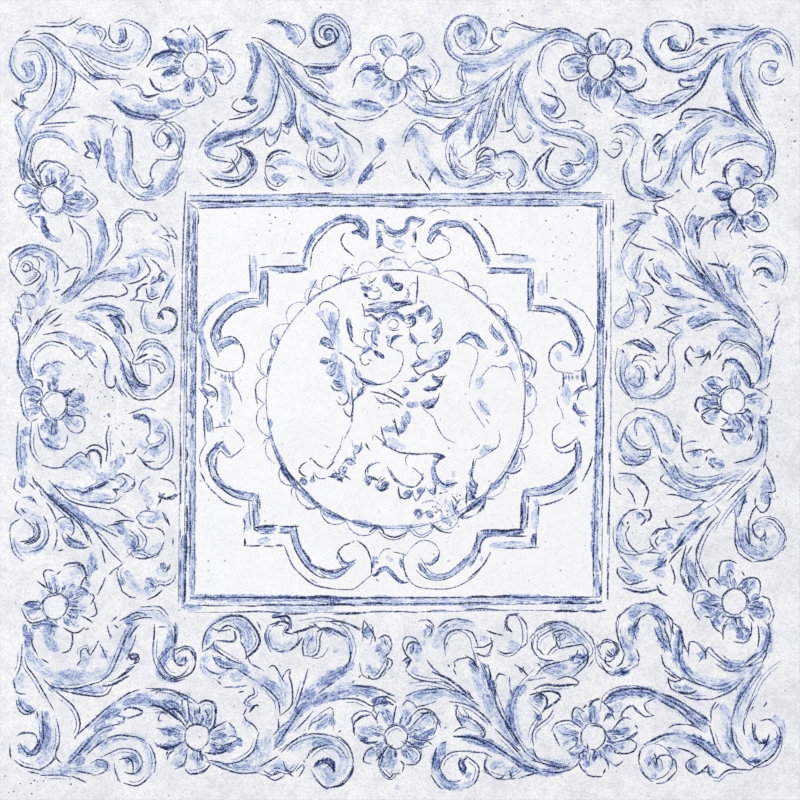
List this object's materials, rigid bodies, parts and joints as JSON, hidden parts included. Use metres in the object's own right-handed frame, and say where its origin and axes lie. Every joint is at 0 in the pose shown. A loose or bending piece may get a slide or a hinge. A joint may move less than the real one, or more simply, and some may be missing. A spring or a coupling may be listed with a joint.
{
  "type": "porcelain tile",
  "caption": "Square glazed porcelain tile with a blue scrollwork print, ground edges and a ribbed back for adhesive, laid on floors and walls.",
  "frame": {"origin": "middle of the back plane, on the rib crossing at the tile's centre", "axes": "+Z out of the glazed face, +Y towards the top of the print, +X to the print's right"},
  "size_m": [0.6, 0.6, 0.009],
  "materials": {
    "porcelain": "satin glaze with a worn blue print"
  },
  "bodies": {
    "root": {"porcelain_tile": "porcelain"}
  },
  "joints": []
}
